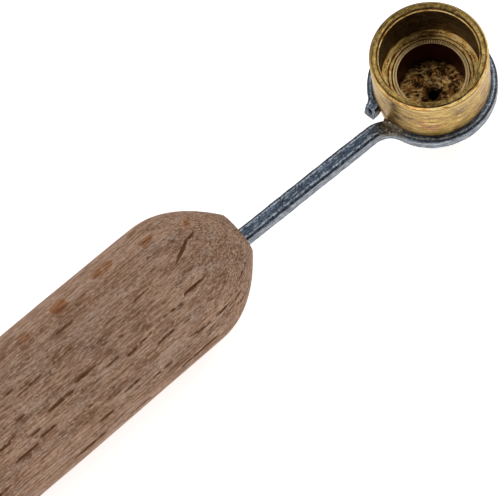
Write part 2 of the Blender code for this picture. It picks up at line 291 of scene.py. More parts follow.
def brass_material():
    """Turned brass: hoop scratches outside, painted gold highlights on the shoulder and rim, bore nearly black with
    tarnish and painted shade.
    """
    s = Shader("turned_brass")
    point, lathe, radius, height = pot_coordinates(s)
    lines = s.noise(lathe, 1.0, 3.0, 0.65)
    patches = s.noise(point, 0.34, 3.0, 0.6)
    grains = s.noise(point, 3.2, 4.0, 0.75)
    mottle = s.noise(point, 1.3, 4.0, 0.7)
    around = s.attribute("around")
    hoops = s.add("ShaderNodeCombineXYZ", {
        "X": s.math("MULTIPLY", around, 0.65),
        "Y": s.math("ADD", s.math("MULTIPLY", height, 4.6), s.math("MULTIPLY", around, 0.25)),
        "Z": s.math("MULTIPLY", radius, 5.0),
    }).outputs[0]
    scratches = s.noise(hoops, 1.0, 4.0, 0.72, 0.3)
    fine = s.add("ShaderNodeCombineXYZ", {
        "X": s.math("MULTIPLY", around, 0.10),
        "Y": s.math("MULTIPLY", height, 6.5),
        "Z": s.math("MULTIPLY", radius, 6.5),
    }).outputs[0]
    turning = s.noise(fine, 1.0, 3.0, 0.7)
    colour = s.ramp(patches, (0.36, (0.230, 0.124, 0.036)), (0.44, (0.450, 0.276, 0.058)),
                    (0.56, (0.500, 0.320, 0.070)), (0.64, (0.420, 0.190, 0.075)))
    colour = s.mix(s.ramp(scratches, (0.38, 0.95), (0.48, 0.0)), colour, (0.120, 0.064, 0.016))
    colour = s.mix(s.ramp(scratches, (0.54, 0.0), (0.63, 0.85)), colour, (0.860, 0.620, 0.250))
    colour = s.mix(s.ramp(mottle, (0.36, 0.45), (0.46, 0.0)), colour, (0.250, 0.120, 0.050))
    colour = s.mix(s.ramp(grains, (0.57, 0.0), (0.67, 0.55)), colour, (0.900, 0.690, 0.360))
    colour = s.mix(s.ramp(grains, (0.33, 0.6), (0.43, 0.0)), colour, (0.110, 0.064, 0.022))
    # The top of the wall and the rim keep the lines of the turning tool.
    band = s.attribute("band")
    tool = s.ramp(turning, (0.36, (0.110, 0.060, 0.016)), (0.47, (0.420, 0.260, 0.062)), (0.60, (0.950, 0.700, 0.300)))
    colour = s.mix(s.math("MULTIPLY", band, 0.75), colour, tool)
    # The flat of the rim is duller, mottled olive and gold.
    rim = s.attribute("rim")
    dull = s.ramp(mottle, (0.38, (0.115, 0.073, 0.021)), (0.50, (0.255, 0.165, 0.044)), (0.64, (0.600, 0.390, 0.115)))
    dull = s.mix(s.ramp(turning, (0.38, 0.65), (0.48, 0.0)), dull, (0.070, 0.044, 0.014))
    dull = s.mix(s.ramp(turning, (0.54, 0.0), (0.64, 0.5)), dull, (0.780, 0.540, 0.190))
    dull = s.mix(s.ramp(grains, (0.56, 0.0), (0.66, 0.6)), dull, (0.800, 0.580, 0.260))
    dull = s.mix(s.ramp(grains, (0.34, 0.6), (0.44, 0.0)), dull, (0.085, 0.052, 0.016))
    colour = s.mix(rim, colour, dull)
    # Painted highlight: the shoulder's wings and the rim's chamfers are painted bright gold.
    painted_highlight = s.attribute("painted_highlight")
    highlight_gold = s.ramp(scratches, (0.39, (0.260, 0.080, 0.014)), (0.45, (0.980, 0.500, 0.100)), (0.56, (1.000, 0.800, 0.360)))
    highlight_gold = s.mix(s.ramp(grains, (0.36, 0.85), (0.46, 0.0)), highlight_gold, (0.110, 0.042, 0.014))
    colour = s.mix(painted_highlight, colour, highlight_gold)
    # Dark tarnish and painted shade fill the bore between the rim's inner edge and the shoulder; the same mask carries
    # the pot's other painted shade.
    soot_and_shade = s.attribute("soot_and_shade")
    stain = s.math("MULTIPLY", soot_and_shade, s.ramp(grains, (0.40, 1.0), (0.70, 0.86)))
    tarnish = s.ramp(scratches, (0.38, (0.012, 0.004, 0.002)), (0.50, (0.060, 0.025, 0.011)), (0.64, (0.220, 0.130, 0.065)))
    tarnish = s.mix(s.ramp(grains, (0.62, 0.0), (0.68, 0.8)), tarnish, (0.480, 0.360, 0.230))
    # Painted shade darkens the bore's left and right sides.
    tarnish = s.mix(s.math("MULTIPLY", s.attribute("side"), 0.75), tarnish, (0.022, 0.016, 0.008))
    colour = s.mix(stain, colour, tarnish)
    height_map = s.math("ADD", s.math("MULTIPLY", lines, 0.9), s.math("MULTIPLY", grains, 0.5))
    height_map = s.math("ADD", height_map, s.math("MULTIPLY", scratches, 0.9))
    normal = s.bump(height_map, 0.6, 0.06 * MM)
    rough = s.math("ADD", s.ramp(mottle, (0.3, 0.28), (0.7, 0.40)), s.math("MULTIPLY", soot_and_shade, 0.12))
    # Where the highlight is painted the surface is rougher and less metallic, so it looks bright from every side.
    rough = s.math("ADD", rough, s.math("MULTIPLY", painted_highlight, 0.16))
    metal = s.math("SUBTRACT", 1.0, s.math("MULTIPLY", painted_highlight, 0.35))
    return s.finish(base_color=colour, roughness=rough, metallic=metal, specular=0.2, normal=normal,
                    anisotropic=0.6, anisotropic_rotation=0.25, tangent=turned_tangent(s))


def sleeve_material():
    """Dark oxidised brass, olive-grey on the ticked top edge with painted highlights along its rims, black with soot
    and painted shade in the bore.
    """
    s = Shader("sooted_brass")
    point, lathe, radius, height = pot_coordinates(s)
    lines = s.noise(lathe, 1.0, 3.0, 0.6)
    patches = s.noise(point, 1.1, 3.0, 0.6)
    colour = s.ramp(patches, (0.35, (0.440, 0.310, 0.130)), (0.65, (0.720, 0.520, 0.230)))
    colour = s.mix(s.ramp(lines, (0.36, 0.4), (0.46, 0.0)), colour, (0.100, 0.070, 0.034))
    # Painted highlight along the rims of the top edge.
    colour = s.mix(s.attribute("bright"), colour, (0.900, 0.640, 0.340))
    colour = s.mix(s.attribute("soot_and_shade"), colour, (0.110, 0.022, 0.014))
    normal = s.bump(lines, 0.5, 0.04 * MM)
    rough = s.ramp(patches, (0.3, 0.34), (0.7, 0.48))
    return s.finish(base_color=colour, roughness=rough, metallic=1.0, normal=normal,
                    anisotropic=0.4, anisotropic_rotation=0.25, tangent=turned_tangent(s))


def nozzle_material():
    """Rough brown brass: burnt wax in the cut marks, gold where the marks' crests are rubbed, and a painted highlight
    on the disc's rim.
    """
    s = Shader("burnt_brass")
    point, lathe, radius, height = pot_coordinates(s)
    clouds = s.noise(point, 0.7, 3.0, 0.6)
    rough_noise = s.noise(point, 1.6, 5.0, 0.7, 0.8)
    aslant = s.add("ShaderNodeVectorRotate", {"Vector": point, "Angle": math.radians(20.0)},
                   rotation_type="Z_AXIS").outputs[0]
    cuts = s.noise(s.stretched(aslant, (0.6, 2.6, 1.0)), 1.0, 3.0, 0.6, 0.5)
    crest_and_highlight = s.attribute("crest_and_highlight")
    colour = s.ramp(clouds, (0.38, (0.050, 0.018, 0.006)), (0.50, (0.150, 0.066, 0.018)), (0.60, (0.380, 0.190, 0.052)))
    colour = s.mix(s.ramp(rough_noise, (0.42, 0.95), (0.49, 0.0)), colour, (0.014, 0.005, 0.002))
    colour = s.mix(s.ramp(rough_noise, (0.53, 0.0), (0.59, 0.9)), colour, (0.580, 0.280, 0.070))
    colour = s.mix(s.ramp(cuts, (0.57, 0.0), (0.62, 0.90)), colour, (0.900, 0.560, 0.190))
    gold = s.ramp(rough_noise, (0.42, 0.15), (0.54, 1.0))
    # Rubbed gold crests, and the painted highlight on the disc's rim.
    colour = s.mix(s.math("MULTIPLY", crest_and_highlight, gold), colour, (1.000, 0.690, 0.290))
    # Soot and painted shade blacken the inside of the outlet.
    colour = s.mix(s.attribute("soot_and_shade"), colour, (0.004, 0.002, 0.002))
    bumps = s.math("ADD", rough_noise, s.math("MULTIPLY", cuts, 0.7))
    normal = s.bump(bumps, 0.7, 0.08 * MM)
    clean = s.math("SUBTRACT", 1.0, s.attribute("soot_and_shade"))
    return s.finish(base_color=colour, roughness=s.ramp(rough_noise, (0.3, 0.34), (0.7, 0.52)),
                    metallic=s.math("MULTIPLY", clean, 0.5), normal=normal, specular=0.0)


def solder_material():
    """Dark olive solder and burnt flux with a few bright spots."""
    s = Shader("solder")
    point = s.position()
    smear = s.noise(point, 1.6, 4.0, 0.65)
    spots = s.noise(point, 3.4, 3.0, 0.6)
    colour = s.ramp(smear, (0.36, (0.045, 0.034, 0.022)), (0.52, (0.130, 0.108, 0.072)), (0.72, (0.260, 0.230, 0.170)))
    colour = s.mix(s.ramp(spots, (0.60, 0.0), (0.66, 1.0)), colour, (0.700, 0.640, 0.500))
    normal = s.bump(spots, 0.8, 0.08 * MM)
    return s.finish(base_color=colour, roughness=s.ramp(smear, (0.3, 0.36), (0.7, 0.56)), metallic=0.75, normal=normal)


# ---------------------------------------------------------------- mesh helpers
def grid_mesh(name, points, closed_u=True, attributes=None):
    """A mesh from a grid of points, rows by columns; columns close on themselves."""
    rows, columns = points.shape[:2]
    index = np.arange(rows * columns).reshape(rows, columns)
    nxt = np.roll(index, -1, axis=1) if closed_u else index[:, 1:]
    here = index if closed_u else index[:, :-1]
    quads = np.stack([here[:-1], nxt[:-1], nxt[1:], here[1:]], axis=-1).reshape(-1, 4)
    mesh = bpy.data.meshes.new(name)
    mesh.vertices.add(rows * columns)
    mesh.vertices.foreach_set("co", points.reshape(-1).astype(np.float32))
    mesh.loops.add(quads.size)
    mesh.loops.foreach_set("vertex_index", quads.reshape(-1).astype(np.int32))
    mesh.polygons.add(len(quads))
    mesh.polygons.foreach_set("loop_start", np.arange(0, quads.size, 4, dtype=np.int32))
    mesh.update(calc_edges=True)
    mesh.validate()
    for key, values in (attributes or {}).items():
        layer = mesh.attributes.new(key, "FLOAT", "POINT")
        layer.data.foreach_set("value", values.reshape(-1).astype(np.float32))
    mesh.shade_smooth()
    return mesh


def show(name, mesh, material, node):
    """Puts a finished mesh in the scene as the looks of one CAD node."""
    piece = bpy.data.objects.new(name, mesh)
    bpy.context.scene.collection.objects.link(piece)
    mesh.materials.append(material)
    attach(piece, "root")
    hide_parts(node)
    return piece


def resample(outline, step):
    """Points along a polyline, no further apart than step, that keep its corners."""
    points = [np.array(outline[0], float)]
    for start, end in zip(outline[:-1], outline[1:]):
        start, end = np.array(start, float), np.array(end, float)
        count = max(1, int(math.ceil(np.linalg.norm(end - start) / step)))
        points += [start + (end - start) * (i + 1) / count for i in range(count)]
    return np.array(points)


def eased(outline, radii, count=4):
    """A closed outline with each corner rounded by its own radius."""
    result = []
    total = len(outline)
    for i, corner in enumerate(outline):
        corner = np.array(corner, float)
        before = np.array(outline[i - 1], float) - corner
        after = np.array(outline[(i + 1) % total], float) - corner
        before_length, after_length = np.linalg.norm(before), np.linalg.norm(after)
        radius = min(radii[i], 0.45 * before_length, 0.45 * after_length)
        if radius <= 0.0:
            result.append(corner)
            continue
        a = corner + before / before_length * radius
        b = corner + after / after_length * radius
        for k in range(count + 1):
            t = k / count
            result.append((1 - t) ** 2 * a + 2 * t * (1 - t) * corner + t * t * b)
    return result


def lathe(name, outline, centre, steps, step, deform=None, close=True):
    """A turned mesh about the vertical through centre, with an optional change to each point.

    deform takes arrays of radius, height and angle and returns new radii and heights and
    a dictionary of attributes."""
    closed = list(outline) + ([outline[0]] if close else [])
    profile = resample(closed, step)
    if close:
        profile = profile[:-1]
    angle = np.arange(steps) * (math.tau / steps)
    radius = np.repeat(profile[:, :1], steps, axis=1)
    height = np.repeat(profile[:, 1:], steps, axis=1)
    theta = np.repeat(angle[None, :], len(profile), axis=0)
    attributes = {}
    if deform:
        radius, height, attributes = deform(radius, height, theta)
    points = np.stack([radius * np.cos(theta), radius * np.sin(theta), height], axis=-1) + centre
    # The outline runs down the outside, so the columns turn clockwise to face outwards.
    order = np.arange(steps)[::-1]
    points = points[:, order]
    attributes = {key: values[:, order] for key, values in attributes.items()}
    if close:
        points = np.concatenate([points, points[:1]])
        attributes = {key: np.concatenate([v, v[:1]]) for key, v in attributes.items()}
    mesh = grid_mesh(name, points, attributes=attributes)
    weld(mesh)
    return mesh


def weld(mesh):
    """Joins the points that meet at a seam or at the axis."""
    import bmesh
    work = bmesh.new()
    work.from_mesh(mesh)
    bmesh.ops.remove_doubles(work, verts=work.verts, dist=0.0005 * MM)
    bmesh.ops.recalc_face_normals(work, faces=work.faces)
    work.to_mesh(mesh)
    work.free()
    mesh.shade_smooth()


def noise_at(points, scale, octaves=3):
    """Fractal noise, about -1 to 1, at an array of points in metres; scale is per millimetre."""
    flat = points.reshape(-1, 3) * (scale / MM)
    values = [noise.fractal(Vector(p), 1.0, 2.0, octaves) for p in flat]
    return np.array(values).reshape(points.shape[:-1])


# ---------------------------------------------------------------- the handle
# Hero figure in the wood: distance back from the nose (mm), angle round the handle
# (degrees, 90 on top), length (mm), width (mm), lean along the length (degrees per mm), depth.
SLITS = [
    (7.3, 90.5, 5.2, 0.74, 3.6, 1.0),
    (10.8, 98.6, 3.0, 0.40, 0.1, 0.6),
    (9.4, 121.0, 4.2, 0.52, 0.0, 1.0),
    (13.6, 124.6, 3.2, 0.34, -0.5, 0.65),
    (18.4, 127.6, 2.4, 0.34, 0.8, 0.9),
    (20.7, 129.2, 2.0, 0.34, 0.3, 0.9),
    (23.4, 125.2, 2.4, 0.30, 0.2, 0.75),
    (26.9, 118.6, 3.6, 0.52, 0.1, 1.0),
    (31.1, 122.5, 5.0, 0.54, 0.0, 1.0),
    (34.8, 134.2, 2.8, 0.46, 0.0, 1.0),
    (38.4, 137.0, 4.0, 0.50, 0.2, 1.0),
    (39.4, 121.5, 3.6, 0.60, 0.2, 1.0),
    (16.2, 138.0, 3.2, 0.36, 0.1, 0.9),
    (12.6, 139.5, 2.2, 0.26, 0.0, 0.6),
    (22.9, 152.0, 3.6, 0.42, 0.5, 1.0),
    (18.0, 160.6, 1.6, 0.34, 0.3, 1.0),
    (20.2, 161.0, 2.2, 0.34, 0.4, 1.0),
    (28.2, 159.6, 3.2, 0.36, 0.0, 0.9),
    (29.6, 141.2, 3.2, 0.30, 0.0, 0.65),
    (13.6, 176.6, 6.6, 0.85, 0.0, 0.95),
    (31.6, 176.6, 5.8, 0.85, 0.0, 0.95),
    (23.7, 182.6, 3.6, 0.70, 0.0, 0.8),
    (25.0, 79.4, 3.2, 0.36, 0.0, 0.85),
    (33.0, 98.0, 4.4, 0.38, 0.2, 0.7),
    (27.7, 96.6, 3.8, 0.32, 0.2, 0.6),
    (15.6, 99.8, 3.2, 0.30, 0.2, 0.6),
    (8.4, 154.9, 2.8, 0.36, -0.6, 1.0),
    (11.6, 155.0, 2.4, 0.46, 0.3, 1.0),
    (13.2, 153.4, 1.8, 0.30, -1.0, 0.9),
    (6.1, 159.8, 3.0, 0.30, -1.4, 0.8),
    (8.0, 162.2, 2.2, 0.28, 0.0, 0.8),
    (5.2, 170.6, 3.2, 0.34, -3.0, 0.8),
    (3.3, 151.0, 2.4, 0.40, 0.0, 0.7),
    (5.8, 137.2, 1.4, 0.30, 0.0, 0.6),
    (35.3, 92.0, 2.8, 0.50, 0.0, 0.6),
    (36.0, 128.4, 2.0, 0.34, 0.0, 0.7),
    (21.2, 114.2, 2.2, 0.42, 0.0, 0.6),
    (25.2, 149.0, 1.4, 0.34, 0.0, 0.7),
    (36.6, 112.6, 3.0, 0.50, 0.0, 0.5),
    (44.5, 150.0, 4.6, 0.42, 0.1, 1.0),
    (46.0, 110.0, 3.8, 0.45, 0.3, 1.0),
]
FLAKES = [
    (4.8, 67.0, 1.6, 1.30, 9.0, 1.0),
    (10.2, 65.2, 2.2, 1.50, 2.0, 1.0),
    (16.8, 57.0, 3.6, 2.60, 0.0, 0.9),
    (23.8, 58.5, 2.7, 3.00, 0.0, 1.0),
    (20.5, 72.0, 1.4, 1.10, 0.0, 0.5),
    (29.6, 61.0, 1.9, 2.60, 0.0, 0.55),
    (10.9, 42.0, 1.5, 2.60, 0.0, 0.5),
    (15.6, 38.0, 0.9, 1.60, 0.0, 0.5),
    (37.0, 58.0, 2.8, 2.40, 0.0, 0.8),
    (49.0, 60.0, 3.2, 2.40, 1.0, 0.8),
]
# Long thin growth lines, close together along the side that turns away.
LINES = [
    (16.0, 167.0, 22.0, 0.20, 0.25, 1.0),
    (24.0, 172.5, 30.0, 0.22, 0.10, 1.0),
    (13.0, 160.5, 13.0, 0.17, -0.20, 1.0),
    (33.0, 167.5, 17.0, 0.18, 0.15, 1.0),
    (30.0, 179.0, 32.0, 0.20, 0.05, 1.0),
    (8.0, 158.0, 9.0, 0.18, 0.8, 1.0),
    (9.5, 163.5, 9.0, 0.15, 0.8, 1.0),
    (40.0, 158.5, 14.0, 0.18, 0.2, 1.0),
    (21.0, 184.0, 24.0, 0.18, 0.0, 1.0),
    (60.0, 172.0, 34.0, 0.20, 0.1, 1.0),
    (66.0, 165.0, 26.0, 0.18, -0.1, 1.0),
]
FIGURE_SEED = 7


def scattered_figure():
    """More slits and flakes over the rest of the handle, by the same rule as the ones above."""
    random = np.random.default_rng(FIGURE_SEED)
    slits, flakes = [], []
    length = HANDLE_LENGTH / MM
    for _ in range(210):
        back = random.uniform(3.0, length - 3.0)
        angle = random.uniform(-180.0, 180.0)
        seen = 20.0 < angle < 200.0 or angle < -160.0
        if seen and back < 48.0:
            continue
        face = abs(math.sin(math.radians(angle - 58.0)))
        if face > 0.5:
            slits.append((back, angle, random.uniform(1.6, 4.8), random.uniform(0.26, 0.52),
                          random.uniform(-0.4, 0.6), random.uniform(0.5, 1.0)))
        elif random.uniform() < 0.35:
            flakes.append((back, angle, random.uniform(1.4, 3.4), random.uniform(1.2, 2.8),
                           random.uniform(-1.5, 1.5), random.uniform(0.4, 1.0)))
    return slits, flakes


def figure_mask(marks, back, theta, radius):
    """How deep each point lies in the given marks, from 0 to 1."""
    mask = np.zeros_like(back)
    for place, angle, length, width, lean, strength in marks:
        along = (back / MM - place) / (length / 2)
        near = np.abs(along) < 1.0
        turn = theta[near] - math.radians(angle) - math.radians(lean) * (back[near] / MM - place)
        turn = (turn + math.pi) % math.tau - math.pi
        taper = np.sqrt(1.0 - along[near] ** 2)
        across = turn * radius[near] / MM / (width / 2 * np.maximum(taper, 0.2))
        depth = strength * np.clip(1.6 * np.exp(-1.4 * across**2) - 0.25, 0.0, 1.0) * np.minimum(taper * 1.6, 1.0)
        mask[near] = np.maximum(mask[near], depth)
    return mask


def swelled(back):
    """Radius of the grip's long middle part, at a distance back from the nose."""
    share = (back - SWELL_PLACE) / (SWELL_PLACE - NOSE_LENGTH)
    return HANDLE_RADIUS - SWELL * share**2


def grip_outline():
    """(radius, distance back) over the domed nose, the swelled grip and the rounded butt."""
    nose_radius = swelled(NOSE_LENGTH)
    butt_start = HANDLE_LENGTH - BUTT_LENGTH
    outline = []
    for share in np.linspace(0.0, 1.0, 40)[:-1]:
        radius = nose_radius - (nose_radius - NOSE_FLAT) * (1.0 - share) ** NOSE_CURVE
        outline.append((radius, NOSE_LENGTH * share))
    for back in np.linspace(NOSE_LENGTH, butt_start, 60)[:-1]:
        outline.append((swelled(back), back))
    for turn in np.linspace(0.0, math.pi / 2, 24):
        radius = BUTT_FLAT + (swelled(butt_start) - BUTT_FLAT) * math.cos(turn)
        outline.append((radius, butt_start + BUTT_LENGTH * math.sin(turn)))
    return outline


TANG_HOLE = 1.30 * MM
HOLE_SHOWN = 3.0 * MM
FACET_CROWN = 0.08 * MM


def make_handle():
    """The beech grip, with its slits cut in the mesh and the tang's hole closed round the wire."""
    facet = [(TANG_HOLE + (NOSE_FLAT - TANG_HOLE) * t, -FACET_CROWN * (1 - t * t)) for t in (0.0, 0.3, 0.6, 0.85)]
    outline = [(0.0, HOLE_SHOWN), (TANG_HOLE, HOLE_SHOWN), *facet, *grip_outline(), (0.0, HANDLE_LENGTH)]
    profile = resample(outline, 0.19 * MM)
    steps = 380
    theta = np.repeat((np.arange(steps) * math.tau / steps)[None, :], len(profile), axis=0)
    radius = np.repeat(profile[:, :1], steps, axis=1)
    back = np.repeat(profile[:, 1:], steps, axis=1)
    slits, flakes = scattered_figure()
    slit = figure_mask(SLITS + slits, back, theta, radius)
    flake = figure_mask(FLAKES + flakes, back, theta, radius)
    plain = np.stack([-back, radius * np.cos(theta), radius * np.sin(theta)], axis=-1)
    ragged = noise_at(plain * np.array([0.5, 2.2, 2.2]), 0.9, 2)
    torn = noise_at(plain * np.array([0.8, 1.6, 1.6]), 1.7, 2)
    slit = np.clip(2.0 * slit * (1.0 + 0.6 * ragged + 0.9 * torn) - 0.65, 0.0, 1.0)
    flake = np.clip(1.5 * flake * (1.0 + 0.5 * ragged + 0.7 * torn) - 0.25, 0.0, 1.0)
    line = np.clip(1.4 * figure_mask(LINES, back, theta, radius) * (0.9 + 1.4 * ragged), 0.0, 1.0)
    lumps = noise_at(plain * np.array([0.35, 1.0, 1.0]), 0.16, 2)
    outer = np.clip(radius / NOSE_FLAT - 0.5, 0.0, 1.0)
    radius = radius + outer * (0.07 * MM * lumps - 0.12 * MM * slit - 0.03 * MM * flake)
    # The hole lies beside the grip's axis, where the leaning tang comes in.
    inner = (back < HOLE_SHOWN + 0.01 * MM) & (radius < NOSE_FLAT) & (np.arange(len(profile))[:, None] < 60)
    share = np.where(inner, np.clip((NOSE_FLAT - radius) / (NOSE_FLAT - TANG_HOLE), 0.0, 1.0), 0.0)
    side = radius * np.cos(theta) + share * tang_shift(back)
    points = np.stack([-back, side, radius * np.sin(theta)], axis=-1) + NOSE
    mesh = grid_mesh("beech_grip", points, attributes={"slit": slit, "flake": flake, "line": line})
    weld(mesh)
    return show("beech_grip", mesh, beech_material(), "handle")


def tang_shift(back):
    """How far the tang's middle lies from the grip's axis, at a distance back from the nose."""
    along = POT_CENTRE[0] - NOSE[0] + back
    handle_y = NOSE[1] - POT_CENTRE[1]
    return SHANK_OFFSET / math.cos(SHANK_LEAN) + along * math.tan(SHANK_LEAN) - handle_y


# ---------------------------------------------------------------- the wire
def arc(centre, radius, start, end, step):
    count = max(2, int(abs(end - start) * radius / step))
    angles = np.linspace(start, end, count + 1)
    return np.stack([centre[0] + radius * np.cos(angles), centre[1] + radius * np.sin(angles)], axis=-1)


def wire_route(step):
    """Centre line in plan about the pot's axis: tang and shank, throat, ring and stub."""
    throat_y = SHANK_OFFSET - THROAT_RADIUS
    throat_x = -math.sqrt((RING_RADIUS + THROAT_RADIUS) ** 2 - throat_y**2)
    ring_start = math.atan2(throat_y, throat_x) + math.tau
    throat = arc((throat_x, throat_y), THROAT_RADIUS, math.pi / 2, ring_start - math.pi, step)
    ring = arc((0.0, 0.0), RING_RADIUS, ring_start, RING_END + math.tau, step)
    stub_reach = RING_RADIUS + STUB_RADIUS
    stub_centre = (stub_reach * math.cos(RING_END), stub_reach * math.sin(RING_END))
    stub = arc(stub_centre, STUB_RADIUS, RING_END - math.pi, RING_END - math.pi - STUB_SWEEP, step)
    heading = RING_END + math.pi / 2 - STUB_SWEEP
    end = stub[-1] + STUB_LENGTH * np.array([math.cos(heading), math.sin(heading)])
    nose_x = NOSE[0] - POT_CENTRE[0]
    tang = resample([(nose_x - TANG_LENGTH, SHANK_OFFSET), (nose_x, SHANK_OFFSET)], 2.0 * MM)[:-1]
    shank = resample([(nose_x, SHANK_OFFSET), tuple(throat[0])], step)
    bent = np.concatenate([tang, shank, throat[1:], ring[1:], stub[1:], end[None]])
    turn = np.array([[math.cos(SHANK_LEAN), -math.sin(SHANK_LEAN)], [math.sin(SHANK_LEAN), math.cos(SHANK_LEAN)]])
    return bent @ turn


def section(count=10):
    """Half-way round a rounded rectangle: its points and how near each is to an edge of the wire."""
    half_w, half_h = WIRE_WIDTH / 2, WIRE_HEIGHT / 2
    points, edges = [], []
    for quarter in range(4):
        corner_x = (half_w - WIRE_CORNER) * (1 if quarter in (0, 3) else -1)
        corner_y = (half_h - WIRE_CORNER) * (1 if quarter in (0, 1) else -1)
        for i in range(count):
            turn = (quarter + i / (count - 1)) * math.pi / 2
            points.append((corner_x + WIRE_CORNER * math.cos(turn), corner_y + WIRE_CORNER * math.sin(turn)))
            edges.append(math.sin(math.pi * i / (count - 1)))
        follow = (quarter + 1) % 4
        next_x = (half_w - WIRE_CORNER) * (1 if follow in (0, 3) else -1)
        next_y = (half_h - WIRE_CORNER) * (1 if follow in (0, 1) else -1)
        turn = follow * math.pi / 2
        last = points[-1]
        goal = (next_x + WIRE_CORNER * math.cos(turn), next_y + WIRE_CORNER * math.sin(turn))
        for t in np.linspace(0, 1, 15)[1:-1]:
            points.append((last[0] + (goal[0] - last[0]) * t, last[1] + (goal[1] - last[1]) * t))
            edges.append(0.0)
    return np.array(points), np.array(edges)


CUT_STATIONS = 6
CUT_SLOPE = 0.60 * MM
PIT_PLACE = np.array([-0.05, 0.10]) * MM
PIT_WIDTH = 0.27 * MM
PIT_LENGTH = 0.52 * MM


def make_wire():
    """The bent wire, with eased edges, slight dents and a cut end that shows its torn core."""
    route = wire_route(0.16 * MM)
    tangent = np.gradient(route, axis=0)
    tangent /= np.linalg.norm(tangent, axis=1)[:, None]
    side = np.stack([-tangent[:, 1], tangent[:, 0]], axis=-1)
    outline, edge = section()
    stations = len(route)
    # The shank is a little stouter than the wire that was stretched round the pot.
    near_pot = np.clip((route[:, 0] + 14.0 * MM) / (6.0 * MM), 0.0, 1.0)
    size = SHANK_GROWTH + (RING_SHRINK - SHANK_GROWTH) * near_pot
    across = outline[:, 0][None, :, None] * side[:, None, :] * size[:, None, None]
    plan = route[:, None, :] + across
    height = outline[:, 1][None, :] * size[:, None]
    points = np.concatenate([plan, height[..., None]], axis=-1)
    normal = np.concatenate([side[:, None, :] * np.sign(outline[:, 0])[None, :, None],
                             np.sign(outline[:, 1])[None, :, None] * np.ones((stations, 1, 1))], axis=-1)
    dents = noise_at(points, 0.9, 3)
    points = points + normal * (dents[..., None] * 0.030 * MM)
    # Painted shade darkens the corners; just inside them the top is rubbed; painted reflection brightens the flanks.
    flat = WIRE_WIDTH / 2 - WIRE_CORNER
    inset = (flat - np.abs(outline[:, 0])) / MM
    rub = np.exp(-(((inset - 0.10) / 0.10) ** 2)) * (outline[:, 1] > WIRE_HEIGHT / 2 - 0.01 * MM)
    flank_reflection = (np.abs(outline[:, 0]) > WIRE_WIDTH / 2 - 0.05 * MM) * np.clip(0.85 + outline[:, 1] / WIRE_HEIGHT, 0.0, 1.0)
    corner = np.where(outline[:, 1] > 0, 0.9, 1.0) * edge**0.5
    girth = np.concatenate([[0.0], np.cumsum(np.linalg.norm(np.diff(outline, axis=0), axis=1))]) / MM
    length = np.concatenate([[0.0], np.cumsum(np.linalg.norm(np.diff(route, axis=0), axis=1))]) / MM
    blank = np.zeros((stations, len(outline)))
    # Painted shadow: towards the pot the top is darkened.
    pot_shadow = np.clip((RING_RADIUS - 0.15 * MM - np.hypot(points[..., 0], points[..., 1])) / (0.35 * MM), 0.0, 1.0)
    looks = {
        "edge": np.maximum(blank + corner, 0.75 * pot_shadow * (points[..., 2] > 0.5 * MM)),
        "rub": blank + rub,
        "flank_reflection": blank + flank_reflection,
        "girth": blank + girth,
        "along": blank + length[:, None],
        "soot_and_shade": blank,
    }
    points, looks = cap_ends(points, looks, tangent, outline)
    polar = np.degrees(np.arctan2(points[..., 1], points[..., 0])) % 360.0
    reach = np.hypot(points[..., 0], points[..., 1])
    blot = np.exp(-(((polar - 188.0) / 11.0) ** 2) - (((reach - 8.3 * MM) / (1.5 * MM)) ** 2))
    stain = np.clip(1.5 * blot * (points[..., 2] > 0.0) * (1.0 + 0.8 * noise_at(points, 0.8, 3)), 0.0, 0.9)
    mesh = grid_mesh("bent_wire", points + POT_CENTRE, attributes={**looks, "stain": stain})
    weld(mesh)
    return show("bent_wire", mesh, steel_material(), "holder_wire")


def cap_ends(points, looks, tangent, outline):
    """Closes both ends with shrinking loops; the stub's sloping cut has a burr and a pit darkened with painted shade.
    """
    shrink = [0.97, 0.92, 0.86, 0.78, 0.70, 0.61, 0.52, 0.43, 0.34, 0.25, 0.16, 0.08, 0.0]
    forward = np.append(tangent[-1], 0.0)
    # The pincers left the top of the end further back than its foot.
    stations = len(points)
    for k in range(CUT_STATIONS):
        share = 1.0 - k / CUT_STATIONS
        slope = outline[:, 1] / WIRE_HEIGHT * CUT_SLOPE
        ring = points[stations - 1 - k]
        pinch = 1.0 - 0.10 * share**2
        points[stations - 1 - k] = ring.mean(axis=0) + (ring - ring.mean(axis=0)) * pinch - forward * (share * slope)[:, None]
    last = points[-1].copy()
    middle = last.mean(axis=0)
    loops = []
    added = {key: [] for key in looks}
    for share in shrink:
        local = outline * share
        toward = (local - PIT_PLACE) @ np.array([[0.80, -0.60], [0.60, 0.80]])
        pit = np.exp(-((toward[:, 0] / PIT_WIDTH) ** 2) - ((toward[:, 1] / PIT_LENGTH) ** 2))
        burr = 0.06 * MM * share**3
        loops.append(middle + (last - middle) * share + forward * (burr - 0.30 * MM * pit)[:, None])
        for key in looks:
            added[key].append(np.zeros(len(outline)))
        # Painted shade fills the pit; the cut face gets a ring of painted light and a painted dark outline.
        added["soot_and_shade"][-1] = np.clip(pit * 2.2 - 0.2, 0.0, 1.0)
        added["flank_reflection"][-1] = np.full(len(outline), 0.55 * (1.0 - abs(share - 0.75)))
        added["edge"][-1] = np.full(len(outline), 0.8 * (share > 0.95))
        added["girth"][-1] = local[:, 0] / MM * 2.0
        added["along"][-1] = looks["along"][-1] + local[:, 1] / MM * 2.0
    first = points[0]
    start = [first.mean(axis=0) + (first - first.mean(axis=0)) * share for share in (0.0, 0.5)]
    points = np.concatenate([np.array(start), points, np.array(loops)])
    looks = {key: np.concatenate([values[:1] * 0, values[:1] * 0, values, np.array(added[key])])
             for key, values in looks.items()}
    return points, looks


